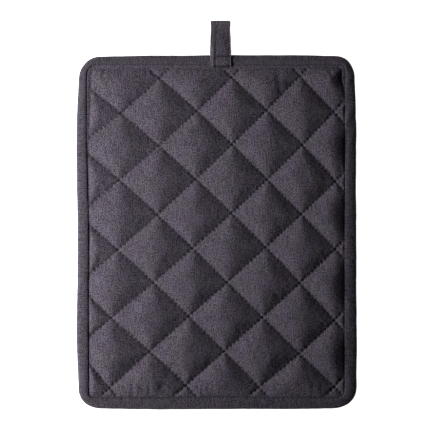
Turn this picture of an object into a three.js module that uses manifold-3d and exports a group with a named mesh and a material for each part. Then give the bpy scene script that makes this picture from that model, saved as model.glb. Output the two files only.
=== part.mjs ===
// A quilted linen pot holder, lying face up on z = 0 with its hanging loop towards +Y. Millimetres.
//
// Three sewn pieces: a padded panel quilted in diamonds, a folded strip that binds its edge all round,
// and a tape loop whose two legs hold the top edge between them.

import Module from 'manifold-3d';
import * as THREE from 'three';
import { mergeVertices } from 'three/addons/utils/BufferGeometryUtils.js';

// ---- Heights and thicknesses ----------------------------------------------------------------------------

const GAP = 0.3; // left free between one piece and the next
const MID_HEIGHT = 4.0; // the middle of the bound edge, above the surface that the pot holder lies on
const CHANNEL_HALF = 1.3; // half the panel's thickness where it is stitched through
const TONGUE_HALF = 1.0; // half its thickness where the binding grips it
const FRONT_PUFF = 4.2; // a whole diamond's rise above the stitching, on the face
const BACK_PUFF = 4.3; // the same on the back, before the surface flattens it
const PUFF_FULLNESS = 0.75; // below 1 the diamonds are plump, above 1 peaked
const RIM_SLOPE = 9; // how far in from the binding the wadding reaches its full height

// ---- The outer edge -------------------------------------------------------------------------------------

// The straight stretch of each side, counter-clockwise. `out` is how far the sewn edge stands out of true at
// even steps along it.
const SIDES = [
  { name: 'bottom', from: [-81.0, -139.5], to: [82.0, -139.5], out: [-0.5, 0.1, 0.2, 0.1, 0.0, -0.1, -0.5] },
  { name: 'right', from: [100.3, -123.5], to: [100.3, 96.2], out: [0.2, 0.3, 0.1, 0.0, -0.2, -0.1, -1.2] },
  { name: 'top', from: [84.8, 114.7], to: [-84.0, 114.7], out: [-0.5, 0.2, 0.2, 0.2, -0.2, -0.3, -1.0] },
  { name: 'left', from: [-100.2, 97.5], to: [-100.2, -123.5], out: [-1.4, 0.3, 0.1, -0.3, -0.1, 0.4, -1.1] },
];
const ROUND = 2; // the squareness of an ellipse; more is squarer
const CORNER_SQUARENESS = 2.3;
const SIDE_STEPS = { bottom: 10, right: 12, top: 10, left: 12 };
const CORNER_STEPS = 7;

// ---- Binding --------------------------------------------------------------------------------------------

// The corners of its inner edge, each after the side of the same place in SIDES.
const INNER_CORNERS = [
  { name: 'bottom right', x: 91.2, y: -130.9 },
  { name: 'top right', x: 91.0, y: 107.2 },
  { name: 'top left', x: -93.7, y: 107.4 },
  { name: 'bottom left', x: -92.5, y: -130.9 },
];
const INNER_CORNER_RADIUS = 4;
const BINDING_LAYER = 1.1; // the strip with its edge folded under
const BINDING_HALF = TONGUE_HALF + GAP + BINDING_LAYER;
const BINDING_CROWN = 0.1; // how far its faces swell between the fold and the stitching
const BINDING_DIP = 0.3; // how far the stitching draws its inner edge down
const OUTER_NOSE = 2.6; // depth of the rounded fold, outside
const INNER_NOSE = 1.2; // and inside
const NOSE_ANGLES = [60, 30]; // degrees round the fold from its middle, where its section has points
// How the strip swells across its width, as a share of the way from the fold to its inner edge.
const FACE_SWELLS = [
  { share: 1, swell: -BINDING_DIP },
  { share: 0.8, swell: 0 },
  { share: 0.4, swell: BINDING_CROWN },
];
const LINING_SWELLS = [
  { share: 1, swell: 0 },
  { share: 0, swell: 0 },
];
const TONGUE_INSET = 2.5; // from the outer edge to the panel's own edge
const RIM_INSET = 0.5; // from the binding's inner edge to where the wadding starts to rise

// ---- Quilting -------------------------------------------------------------------------------------------

// Lines of stitches from one edge of the panel to the other. `sway` is how far each strays to the left of its
// chord at one third and at two thirds of its length.
const FALLING_LINES = [
  { from: [54.8, 105.8], to: [90.8, 66.9], sway: [-0.4, -0.2] },
  { from: [3.7, 105.8], to: [90.8, 17.3], sway: [1.5, 2.3] },
  { from: [-49.0, 105.0], to: [90.8, -30.2], sway: [2.8, 1.9] },
  { from: [-89.8, 90.0], to: [90.8, -82.7], sway: [5.1, 4.8] },
  { from: [-92.0, 43.9], to: [90.0, -128.0], sway: [2.4, 0.6] },
  { from: [-92.0, -6.4], to: [36.8, -130.2], sway: [2.1, 2.0] },
  { from: [-92.0, -57.5], to: [-15.7, -128.8], sway: [-0.3, 0.9] },
  { from: [-91.3, -106.5], to: [-71.1, -130.9], sway: [0, 0] },
];
const RISING_LINES = [
  { from: [-91.3, 55.4], to: [-32.3, 106.5], sway: [-1.5, -1.3] },
  { from: [-91.3, 6.5], to: [18.8, 106.5], sway: [-1.4, -1.6] },
  { from: [-91.3, -42.4], to: [66.3, 106.5], sway: [-2.8, -2.7] },
  { from: [-91.3, -87.0], to: [90.8, 81.3], sway: [-3.6, -4.2] },
  { from: [-84.1, -130.9], to: [90.8, 29.5], sway: [-0.5, -1.4] },
  { from: [-29.5, -129.0], to: [90.8, -18.7], sway: [-0.8, -1.4] },
  { from: [23.6, -129.1], to: [90.8, -69.0], sway: [-1.4, -1.6] },
  { from: [77.8, -130.2], to: [90.8, -116.5], sway: [0, 0] },
];
const LINE_SPACING_Y = 49.5; // to the next line, off the panel, that the panel's corners were cut from
const DIAMOND_STEPS = [0, 0.06, 0.2, 0.4, 0.6, 0.8, 0.94, 1]; // closer together beside the stitching

// ---- Hanging loop ---------------------------------------------------------------------------------------

const LOOP = {
  x: 2.65, // a little to the right of the middle
  tape: 1.2, // thickness
  baseWidth: 15.2,
  foldWidth: 13.5,
  frontEnd: 106.4, // just past the binding's inner edge
  backEnd: 107.9,
  edge: 114.9,
  top: 139.7,
  closes: 122, // where the legs begin to come together
  foldRadius: 1.0, // of the tape's middle
  foldHeight: 2.1,
};
const FRONT_LEG_HEIGHT = MID_HEIGHT + BINDING_HALF + BINDING_CROWN + GAP + LOOP.tape / 2;
const BACK_LEG_HEIGHT = LOOP.tape / 2;
const LEG_DIP = 0.5; // how far the front leg's end is stitched down beyond the binding
const LEG_DIP_LENGTH = 2.6;
const LEG_STEPS = 16;
const FOLD_STEPS = 6;

const wasm = await Module();
wasm.setup();

// ---- Small helpers --------------------------------------------------------------------------------------

const SAME_POINT = 1e-4; // points closer than this are one
const CROSSING_PASSES = 6; // enough for two gently swaying lines to be followed to where they cross

const { clamp, lerp, smoothstep } = THREE.MathUtils;

function material(colour) {
  return new THREE.MeshStandardMaterial({ color: colour, roughness: 0.95, metalness: 0 });
}

/** The geometry of a list of points and a list of three indices a face. */
function geometryOf(points, faces) {
  const geometry = new THREE.BufferGeometry();
  geometry.setAttribute('position', new THREE.Float32BufferAttribute(points.flat(), 3));
  geometry.setIndex(faces.flat());
  geometry.computeVertexNormals();
  return geometry;
}

function toManifold(geometry) {
  const bare = geometry.clone();
  bare.deleteAttribute('normal');
  bare.deleteAttribute('uv');
  const merged = mergeVertices(bare, SAME_POINT);
  return new wasm.Manifold(
    new wasm.Mesh({
      numProp: 3,
      vertProperties: new Float32Array(merged.attributes.position.array),
      triVerts: new Uint32Array(merged.index.array),
    }),
  );
}

function fromManifold(solid) {
  const mesh = solid.getMesh();
  const geometry = new THREE.BufferGeometry();
  geometry.setAttribute('position', new THREE.Float32BufferAttribute(mesh.vertProperties, 3));
  geometry.setIndex([...mesh.triVerts]);
  geometry.computeVertexNormals();
  return geometry;
}

/** A skin round equal rings of points; `closed` joins the last ring to the first, instead of end caps. */
function skin(rings, closed) {
  const count = rings[0].length;
  const faces = [];
  const last = closed ? rings.length : rings.length - 1;
  for (let i = 0; i < last; i += 1) {
    const here = i * count;
    const there = ((i + 1) % rings.length) * count;
    for (let k = 0; k < count; k += 1) {
      const next = (k + 1) % count;
      faces.push([here + k, there + k, there + next], [here + k, there + next, here + next]);
    }
  }
  if (!closed) {
    const end = (rings.length - 1) * count;
    for (let k = 1; k < count - 1; k += 1) {
      faces.push([0, k, k + 1], [end, end + k + 1, end + k]);
    }
  }
  return geometryOf(rings.flat(), faces);
}

// ---- The edge, outside and at the binding's inner edge --------------------------------------------------

/** Points along a corner that leaves `start` heading `ahead` and comes to `end` heading `aside`. */
function cornerPoints(start, end, ahead, aside, squareness) {
  const reach = end.clone().sub(start);
  const points = [];
  for (let i = 1; i < CORNER_STEPS; i += 1) {
    const angle = (Math.PI / 2) * (i / CORNER_STEPS);
    const forward = Math.sin(angle) ** (2 / squareness) * reach.dot(ahead);
    const across = (1 - Math.cos(angle) ** (2 / squareness)) * reach.dot(aside);
    points.push(start.clone().addScaledVector(ahead, forward).addScaledVector(aside, across));
  }
  return points;
}

/** Pairs of an outer and an inner point, counter-clockwise all round. */
function edgeStations() {
  const sides = SIDES.map((side, k) => {
    const from = new THREE.Vector2(...side.from);
    const to = new THREE.Vector2(...side.to);
    const ahead = to.clone().sub(from).normalize();
    const outward = new THREE.Vector2(ahead.y, -ahead.x);
    const knots = side.out.map((out, i) =>
      from.clone().lerp(to, i / (side.out.length - 1)).addScaledVector(outward, out));
    const cornerBefore = INNER_CORNERS[(k + INNER_CORNERS.length - 1) % INNER_CORNERS.length];
    const corner = INNER_CORNERS[k];
    const innerFrom = new THREE.Vector2(cornerBefore.x, cornerBefore.y);
    const innerTo = new THREE.Vector2(corner.x, corner.y);
    const innerAhead = innerTo.clone().sub(innerFrom).normalize();
    innerFrom.addScaledVector(innerAhead, INNER_CORNER_RADIUS);
    innerTo.addScaledVector(innerAhead, -INNER_CORNER_RADIUS);
    return {
      ahead, innerAhead, innerFrom, innerTo,
      curve: new THREE.SplineCurve(knots),
      steps: SIDE_STEPS[side.name],
      first: knots[0],
      last: knots[knots.length - 1],
    };
  });
  const stations = [];
  sides.forEach((side, k) => {
    const next = sides[(k + 1) % sides.length];
    for (let i = 0; i <= side.steps; i += 1) {
      const along = i / side.steps;
      const inner = side.innerFrom.clone().lerp(side.innerTo, along);
      stations.push({ outer: side.curve.getPoint(along), inner });
    }
    const outer = cornerPoints(side.last, next.first, side.ahead, next.ahead, CORNER_SQUARENESS);
    const inner = cornerPoints(side.innerTo, next.innerFrom, side.innerAhead, next.innerAhead, ROUND);
    outer.forEach((point, i) => stations.push({ outer: point, inner: inner[i] }));
  });
  return stations;
}

/** The station's point at a distance in from the outer edge, towards its inner point. */
function inwards(station, distance) {
  const direction = station.inner.clone().sub(station.outer).normalize();
  return station.outer.clone().addScaledVector(direction, distance);
}

const STATIONS = edgeStations();
const RIM = STATIONS.map((station) => inwards(station, station.outer.distanceTo(station.inner) + RIM_INSET));

function distanceToRim(x, y) {
  let nearest = Infinity;
  RIM.forEach((start, i) => {
    const end = RIM[(i + 1) % RIM.length];
    const dx = end.x - start.x;
    const dy = end.y - start.y;
    const along = clamp(((x - start.x) * dx + (y - start.y) * dy) / (dx * dx + dy * dy), 0, 1);
    nearest = Math.min(nearest, Math.hypot(x - start.x - along * dx, y - start.y - along * dy));
  });
  return nearest;
}

// ---- Quilt lines ----------------------------------------------------------------------------------------

/** How far a line strays from its chord at a fraction of its length, a cubic through its two sways. */
function stray(line, fraction) {
  const t = clamp(fraction, 0, 1);
  const [third, twoThirds] = line.sway;
  const full = 27 / 2; // makes each term one sway high at its own third
  return full * t * (1 - t) * (third * (2 / 3 - t) + twoThirds * (t - 1 / 3));
}

/** Where a falling and a rising line cross. */
function crossing(falling, rising) {
  const lines = [falling, rising].map((line) => {
    const from = new THREE.Vector2(...line.from);
    const chord = new THREE.Vector2(...line.to).sub(from);
    return { line, from, chord, left: new THREE.Vector2(-chord.y, chord.x).normalize(), at: 0.5 };
  });
  const [a, b] = lines;
  for (let pass = 0; pass < CROSSING_PASSES; pass += 1) {
    const startA = a.from.clone().addScaledVector(a.left, stray(a.line, a.at));
    const startB = b.from.clone().addScaledVector(b.left, stray(b.line, b.at));
    const between = startB.sub(startA);
    const turn = a.chord.cross(b.chord);
    a.at = between.cross(b.chord) / turn;
    b.at = between.cross(a.chord) / turn;
  }
  return a.from.clone().addScaledVector(a.chord, a.at).addScaledVector(a.left, stray(a.line, a.at));
}

/** The lines on the panel, and one more on either side of them that its corners were cut from. */
function withNeighbours(lines) {
  const moved = (line, dy) => ({
    from: [line.from[0], line.from[1] + dy],
    to: [line.to[0], line.to[1] + dy],
    sway: [0, 0],
  });
  return [moved(lines[0], LINE_SPACING_Y), ...lines, moved(lines[lines.length - 1], -LINE_SPACING_Y)];
}

// ---- Quilted panel --------------------------------------------------------------------------------------

/** The part of a convex cell that lies inside the rim, with its place in the diamond carried along. */
function clipToRim(cell) {
  let kept = cell;
  RIM.forEach((start, i) => {
    const end = RIM[(i + 1) % RIM.length];
    const side = (p) => (end.x - start.x) * (p.y - start.y) - (end.y - start.y) * (p.x - start.x);
    const next = [];
    kept.forEach((point, k) => {
      const following = kept[(k + 1) % kept.length];
      const here = side(point);
      const there = side(following);
      if (here >= 0) next.push(point);
      if (here * there < 0) {
        const share = here / (here - there);
        const between = (key) => lerp(point[key], following[key], share);
        next.push({ x: between('x'), y: between('y'), s: between('s'), t: between('t') });
      }
    });
    kept = next;
  });
  return kept;
}

/** How full the wadding is at a point, from 0 on the stitching to 1 in the middle of a whole diamond. */
function fullness(point) {
  const across = (part) => Math.max(0, Math.sin(Math.PI * part)) ** PUFF_FULLNESS;
  const nearRim = Math.sin((Math.PI / 2) * Math.min(1, distanceToRim(point.x, point.y) / RIM_SLOPE));
  return across(point.s) * across(point.t) * Math.max(0, nearRim) ** PUFF_FULLNESS;
}

/** The diamonds as one closed body inside the rim, face and back. */
function quiltedBody() {
  const top = [];
  const bottom = [];
  const indexOf = new Map();
  const vertex = (point) => {
    const key = `${point.x.toFixed(4)} ${point.y.toFixed(4)}`;
    if (!indexOf.has(key)) {
      const full = fullness(point);
      indexOf.set(key, top.length);
      top.push([point.x, point.y, MID_HEIGHT + CHANNEL_HALF + FRONT_PUFF * full]);
      bottom.push([point.x, point.y, Math.max(0, MID_HEIGHT - CHANNEL_HALF - BACK_PUFF * full)]);
    }
    return indexOf.get(key);
  };

  const facets = [];
  const addCell = (cell) => {
    const ring = clipToRim(cell).map(vertex).filter((index, k, all) => index !== all[(k + 1) % all.length]);
    for (let k = 1; k < ring.length - 1; k += 1) facets.push([ring[0], ring[k], ring[k + 1]]);
  };
  const falling = withNeighbours(FALLING_LINES);
  const rising = withNeighbours(RISING_LINES);
  for (let i = 0; i < falling.length - 1; i += 1) {
    for (let j = 0; j < rising.length - 1; j += 1) {
      const top0 = crossing(falling[i], rising[j]);
      const top1 = crossing(falling[i], rising[j + 1]);
      const low0 = crossing(falling[i + 1], rising[j]);
      const low1 = crossing(falling[i + 1], rising[j + 1]);
      const at = (s, t) => {
        const upper = top0.clone().lerp(top1, t);
        const lower = low0.clone().lerp(low1, t);
        const place = upper.lerp(lower, s);
        return { x: place.x, y: place.y, s, t };
      };
      for (let m = 0; m < DIAMOND_STEPS.length - 1; m += 1) {
        for (let n = 0; n < DIAMOND_STEPS.length - 1; n += 1) {
          const [s0, s1] = [DIAMOND_STEPS[m], DIAMOND_STEPS[m + 1]];
          const [t0, t1] = [DIAMOND_STEPS[n], DIAMOND_STEPS[n + 1]];
          addCell([at(s0, t0), at(s1, t0), at(s1, t1), at(s0, t1)]);
        }
      }
    }
  }

  const directed = new Set(facets.flatMap(([a, b, c]) => [`${a} ${b}`, `${b} ${c}`, `${c} ${a}`]));
  const count = top.length;
  const faces = facets.flatMap(([a, b, c]) => [[a, b, c], [count + a, count + c, count + b]]);
  directed.forEach((edge) => {
    const [a, b] = edge.split(' ').map(Number);
    if (!directed.has(`${b} ${a}`)) faces.push([a, count + a, count + b], [a, count + b, b]);
  });
  return geometryOf([...top, ...bottom], faces);
}

/** The flat edge of the panel that runs into the binding. */
function tongue() {
  const shape = new THREE.Shape(STATIONS.map((station) => inwards(station, TONGUE_INSET)));
  const plate = new THREE.ExtrudeGeometry(shape, { depth: 2 * TONGUE_HALF, bevelEnabled: false });
  return plate.translate(0, 0, MID_HEIGHT - TONGUE_HALF);
}

function quiltedPad() {
  const solid = toManifold(quiltedBody()).add(toManifold(tongue()));
  const mesh = new THREE.Mesh(fromManifold(solid), material(0x453f47));
  mesh.name = 'quilted_pad';
  return mesh;
}

// ---- Edge binding ---------------------------------------------------------------------------------------

/** One skin of the folded strip, from its edge on the face, round the fold, to its edge on the back. */
function foldedSkin(width, start, half, nose, swells) {
  const flat = swells.map(({ share, swell }) => ({
    in: start + nose + (width - start - nose) * share,
    up: half + swell,
  }));
  const fold = NOSE_ANGLES.map((degrees) => {
    const angle = THREE.MathUtils.degToRad(degrees);
    return { in: start + nose * (1 - Math.cos(angle)), up: half * Math.sin(angle) };
  });
  const face = [...flat, ...fold];
  const back = face.map((point) => ({ in: point.in, up: -point.up })).reverse();
  return [...face, { in: start, up: 0 }, ...back];
}

function edgeBinding() {
  const rings = STATIONS.map((station) => {
    const width = station.outer.distanceTo(station.inner);
    const outside = foldedSkin(width, 0, BINDING_HALF, OUTER_NOSE, FACE_SWELLS);
    const inside = foldedSkin(width, BINDING_LAYER, TONGUE_HALF + GAP, INNER_NOSE, LINING_SWELLS);
    return [...inside, ...outside.reverse()].map((point) => {
      const place = inwards(station, point.in);
      return [place.x, place.y, MID_HEIGHT + point.up];
    });
  });
  const mesh = new THREE.Mesh(skin(rings, true), material(0x3d373f));
  mesh.name = 'edge_binding';
  return mesh;
}

// ---- Hanging loop ---------------------------------------------------------------------------------------

/** The tape's middle line in the YZ plane: up the front leg, round the fold and back down behind. */
function loopPath() {
  const foldY = LOOP.top - LOOP.tape / 2 - LOOP.foldRadius;
  const height = (y, atSeam, atFold) => lerp(atSeam, atFold, smoothstep(y, LOOP.closes, foldY));
  const path = [];
  for (let i = 0; i <= LEG_STEPS; i += 1) {
    const y = lerp(LOOP.frontEnd, foldY, i / LEG_STEPS);
    const dip = LEG_DIP * (1 - smoothstep(y, LOOP.frontEnd, LOOP.frontEnd + LEG_DIP_LENGTH));
    path.push({ y, z: height(y, FRONT_LEG_HEIGHT, LOOP.foldHeight + LOOP.foldRadius) - dip });
  }
  for (let i = 1; i < FOLD_STEPS; i += 1) {
    const angle = Math.PI * (0.5 - i / FOLD_STEPS);
    path.push({
      y: foldY + LOOP.foldRadius * Math.cos(angle),
      z: LOOP.foldHeight + LOOP.foldRadius * Math.sin(angle),
    });
  }
  for (let i = LEG_STEPS; i >= 0; i -= 1) {
    const y = lerp(LOOP.backEnd, foldY, i / LEG_STEPS);
    path.push({ y, z: height(y, BACK_LEG_HEIGHT, LOOP.foldHeight - LOOP.foldRadius) });
  }
  return path;
}

function hangingLoop() {
  const path = loopPath();
  const rings = path.map((point, i) => {
    const before = path[Math.max(0, i - 1)];
    const after = path[Math.min(path.length - 1, i + 1)];
    const length = Math.hypot(after.y - before.y, after.z - before.z);
    const out = { y: -(after.z - before.z) / length, z: (after.y - before.y) / length };
    const rise = clamp((point.y - LOOP.edge) / (LOOP.top - LOOP.edge), 0, 1);
    const half = lerp(LOOP.baseWidth, LOOP.foldWidth, rise) / 2;
    const corner = (side, face) => [
      LOOP.x + side * half,
      point.y + (face * out.y * LOOP.tape) / 2,
      point.z + (face * out.z * LOOP.tape) / 2,
    ];
    return [corner(-1, 1), corner(-1, -1), corner(1, -1), corner(1, 1)];
  });
  const mesh = new THREE.Mesh(skin(rings, false), material(0x403a42));
  mesh.name = 'hanging_loop';
  return mesh;
}

const group = new THREE.Group();
group.add(quiltedPad(), edgeBinding(), hangingLoop());

export default group;
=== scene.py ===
"""A quilted linen pot holder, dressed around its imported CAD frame.

It lies face up on z = 0 with its hanging loop towards +Y. Lengths are millimetres along the frame's own axes,
and mesh_object() turns them into metres. What is sewn:

    quilted panel   one padded cloth, its wadding pushed out between the stitch holes by Blender's Cloth
    edge binding    one strip of cloth with both edges turned under, folded over the panel's edge
    hanging loop    one length of tape, folded back at its top, its two legs holding the edge between them
    threads         the quilting, the seam beside the binding, the seam round the panel and the loop's seams
"""

import math

import bpy
import numpy as np
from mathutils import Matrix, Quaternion, Vector


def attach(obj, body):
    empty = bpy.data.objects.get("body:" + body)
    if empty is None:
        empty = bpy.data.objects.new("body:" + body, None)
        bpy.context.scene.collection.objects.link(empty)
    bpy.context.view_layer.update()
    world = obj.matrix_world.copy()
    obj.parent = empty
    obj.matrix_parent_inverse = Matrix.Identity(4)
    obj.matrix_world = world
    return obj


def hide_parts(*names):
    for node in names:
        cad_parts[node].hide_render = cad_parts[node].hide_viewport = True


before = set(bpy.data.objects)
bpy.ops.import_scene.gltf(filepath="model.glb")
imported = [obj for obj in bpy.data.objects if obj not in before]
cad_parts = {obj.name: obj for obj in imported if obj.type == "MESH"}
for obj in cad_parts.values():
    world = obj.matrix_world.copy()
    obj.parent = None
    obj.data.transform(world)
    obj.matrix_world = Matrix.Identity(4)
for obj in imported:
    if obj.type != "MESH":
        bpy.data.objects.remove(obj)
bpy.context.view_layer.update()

MM = 0.001

# ---- Small helpers --------------------------------------------------------------------------------------


def table(columns, *rows):
    """Rows of values under named columns."""
    return [dict(zip(columns.split(), row)) for row in rows]


def unit(vectors):
    return vectors / np.linalg.norm(vectors, axis=-1, keepdims=True)


def left_of(vectors):
    """Plane vectors turned a quarter to the left."""
    return np.stack([-vectors[..., 1], vectors[..., 0]], axis=-1)


def cross(a, b):
    """The z of the cross product of plane vectors."""
    return a[..., 0] * b[..., 1] - a[..., 1] * b[..., 0]


def lengths(points):
    """How far along a closed line each of its points is, and last the whole length."""
    return np.concatenate([[0], np.cumsum(np.linalg.norm(np.roll(points, -1, axis=0) - points, axis=1))])


def read_off(place, along, points):
    """The points at places on a line, given some of its points and how far along it they are."""
    return np.stack([np.interp(place, along, column) for column in points.T], axis=-1)


def nearest(points, place):
    """The index of the point nearest to a place."""
    return np.linalg.norm(points - np.array(place), axis=1).argmin()


def smoothstep(value, low, high):
    t = np.clip((value - low) / (high - low), 0, 1)
    return t * t * (3 - 2 * t)


def bell(value, reach):
    """1 at 0, falling smoothly to nearly 0 at twice the reach."""
    return np.exp(-((value / reach) ** 2))


def ripple(points, wavelength, seed, count=14):
    """Soft unevenness between about -1 and 1 over plane points, the sum of seeded waves in all directions."""
    draw = np.random.default_rng(seed)
    total = np.zeros(points.shape[:-1])
    for _ in range(count):
        heading = draw.uniform(0, 2 * math.pi)
        length = wavelength * draw.uniform(0.7, 1.6)
        along = points[..., 0] * math.cos(heading) + points[..., 1] * math.sin(heading)
        total += np.sin(along * 2 * math.pi / length + draw.uniform(0, 2 * math.pi))
    return total * math.sqrt(2 / count) / 1.6


def lumps(size, points, seed):
    """Unevenness with a height and a wavelength."""
    return size["height"] * ripple(points, size["wavelength"], seed)


def mesh_object(name, points, faces, uv=None, painted_shade=None):
    """A smooth-shaded object from points in millimetres.

    `uv` is one plane point for each face's corner, and the last argument gives each point the painted shade
    that its colour takes, from 0 to 1, where it lies in a crease or a stitch hole.
    """
    mesh = bpy.data.meshes.new(name)
    mesh.from_pydata((np.asarray(points) * MM).tolist(), [], [list(map(int, f)) for f in faces])
    mesh.polygons.foreach_set("use_smooth", np.ones(len(mesh.polygons), bool))
    if uv is not None:
        layer = mesh.uv_layers.new(name="Weave")
        layer.data.foreach_set("uv", (np.asarray(uv) * MM).astype(np.float32).ravel())
    if painted_shade is not None:
        # Painted shade: the linen darkens its colour by this attribute
        layer = mesh.attributes.new("PaintedShade", "FLOAT", "POINT")
        layer.data.foreach_set("value", np.clip(painted_shade, 0, 1).astype(np.float32).ravel())
    piece = bpy.data.objects.new(name, mesh)
    bpy.context.scene.collection.objects.link(piece)
    return piece


def ring_faces(count, around, closed):
    """Quads of a skin over `count` rings of `around` points; closed joins the last ring to the first."""
    here = np.arange(count if closed else count - 1)[:, None] * around
    there = (here + around) % (count * around)
    k = np.arange(around)[None, :]
    nxt = (k + 1) % around
    return np.stack([here + k, there + k, there + nxt, here + nxt], axis=-1).reshape(-1, 4)


# ---- The bound edge -------------------------------------------------------------------------------------

# The straight stretch of each side, counter-clockwise. `out` is how far the sewn edge stands out of true at
# even steps along it, and `inner_out` the same for the binding's inner edge.
SIDES = table(
    "start end out inner_out",
    (
        (-81.0, -139.5), (82.0, -139.5),
        (-0.5, 0, 0.1, -0.1, -0.2, -0.2, -0.5), (0, 0.1, -0.3, 0.1, 0),
    ),
    (
        (100.3, -123.5), (100.3, 96.2),
        (0, 0.2, -0.1, -0.1, -0.4, -0.2, -1.2), (0, 0, 0, 0.4, 0),
    ),
    (
        (84.8, 114.7), (-84.0, 114.7),
        (-0.5, 0.1, 0.1, 0.1, -0.2, -0.3, -1.0), (0, -0.2, -0.3, 0.1, 0),
    ),
    (
        (-100.2, 97.5), (-100.2, -123.5),
        (-0.9, 0.6, 0.4, -0.2, 0, 0.6, -0.8), (0, 0.3, -0.2, -0.8, -0.3, -0.2, 0),
    ),
)
# The corners after the side of the same place in SIDES: where the binding's inner edge turns, its radius, and
# how square the outer edge is, from 2 for an ellipse.
CORNERS = table(
    "at radius square",
    ((91.9, -131.2), 5.5, 2.15),
    ((91.9, 108.0), 3.0, 2.2),
    ((-93.6, 108.3), 8.0, 1.95),
    ((-92.1, -131.0), 3.5, 2.35),
)
ROUND = 2
# How far the seam round the panel lies inside the binding's inner edge, near these places on it.
MARGINS = table(
    "at width",
    ((-80.0, -131.0), 0.3),
    ((80.0, -131.0), 0.3),
    ((91.9, -110.0), 0.3),
    ((91.9, 88.0), 0.4),
    ((91.9, 97.0), 2.6),
    ((80.0, 108.0), 2.2),
    ((-40.0, 108.0), 2.6),
    ((-93.6, 96.0), 3.4),
    ((-93.6, 61.0), 1.8),
    ((-92.2, 18.0), 0.5),
    ((-92.3, -100.0), 0.3),
)
EDGE_STEPS = 1360  # stations along the binding
DRAWN_STEPS = 400  # points that each side is first drawn with
EDGE_EASE = 1.0  # the reach over which the cloth evens out its own edge
MEASURED_AT_ONCE = 4000  # points, to save memory


def catmull_rom(knots, count):
    """`count` points on a uniform Catmull-Rom spline through all the knots."""
    last = len(knots) - 1
    place = np.linspace(0, last, count)
    index = np.minimum(place.astype(int), last - 1)
    t = (place - index)[:, None]
    p0, p1 = knots[np.maximum(index - 1, 0)], knots[index]
    p2, p3 = knots[index + 1], knots[np.minimum(index + 2, last)]
    v0, v1 = (p2 - p0) / 2, (p3 - p1) / 2
    return (2 * p1 - 2 * p2 + v0 + v1) * t**3 + (3 * p2 - 3 * p1 - 2 * v0 - v1) * t**2 + v0 * t + p1


def swayed(start, end, out):
    """A line from start to end through knots that each stand out to the right of the way by their amount."""
    share = np.linspace(0, 1, len(out))[:, None]
    knots = start + share * (end - start) - np.array(out)[:, None] * left_of(unit(end - start))
    return catmull_rom(knots, DRAWN_STEPS)


def drawn_side(index):
    side, before, after = SIDES[index], CORNERS[index - 1], CORNERS[index]
    start, end = np.array(side["start"]), np.array(side["end"])
    inner_start, inner_end = np.array(before["at"]), np.array(after["at"])
    inner_ahead = unit(inner_end - inner_start)
    inner_start = inner_start + inner_ahead * before["radius"]
    inner_end = inner_end - inner_ahead * after["radius"]
    outer, inner = swayed(start, end, side["out"]), swayed(inner_start, inner_end, side["inner_out"])
    return {"ahead": unit(end - start), "inner_ahead": inner_ahead, "outer": outer, "inner": inner}


def corner_points(start, end, ahead, aside, squareness):
    """Points along a corner that leaves `start` heading `ahead` and comes to `end` heading `aside`."""
    angle = np.linspace(0, math.pi / 2, DRAWN_STEPS // 4)[1:-1, None]
    forward = np.sin(angle) ** (2 / squareness) * ((end - start) @ ahead)
    across = (1 - np.cos(angle) ** (2 / squareness)) * ((end - start) @ aside)
    return start + forward * ahead + across * aside


def evened(closed, values, reach):
    """Values along a closed line, averaged over neighbours within about the reach."""
    share = np.fft.rfftfreq(len(values), closed / len(values))
    soften = np.exp(-2 * (math.pi * share * reach) ** 2)
    return np.fft.irfft(np.fft.rfft(values, axis=0) * soften[:, None], len(values), axis=0)


def inward_of(line):
    """At each point of a closed counter-clockwise line, the way square to it and inwards."""
    return unit(left_of(np.roll(line, -1, axis=0) - np.roll(line, 1, axis=0)))


def square_to(outer, inner):
    """Where lines square to the outer edge, from each of its points, meet the inner edge."""
    inward = inward_of(outer)
    steps = np.roll(inner, -1, axis=0) - inner
    turn = cross(inward[:, None], steps[None])
    offset = inner[None] - outer[:, None]
    distance = cross(offset, steps[None]) / turn
    share = cross(offset, inward[:, None]) / turn
    distance[(share < 0) | (share > 1) | (distance < 0)] = np.inf
    return outer + inward * distance.min(axis=1)[:, None]


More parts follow.
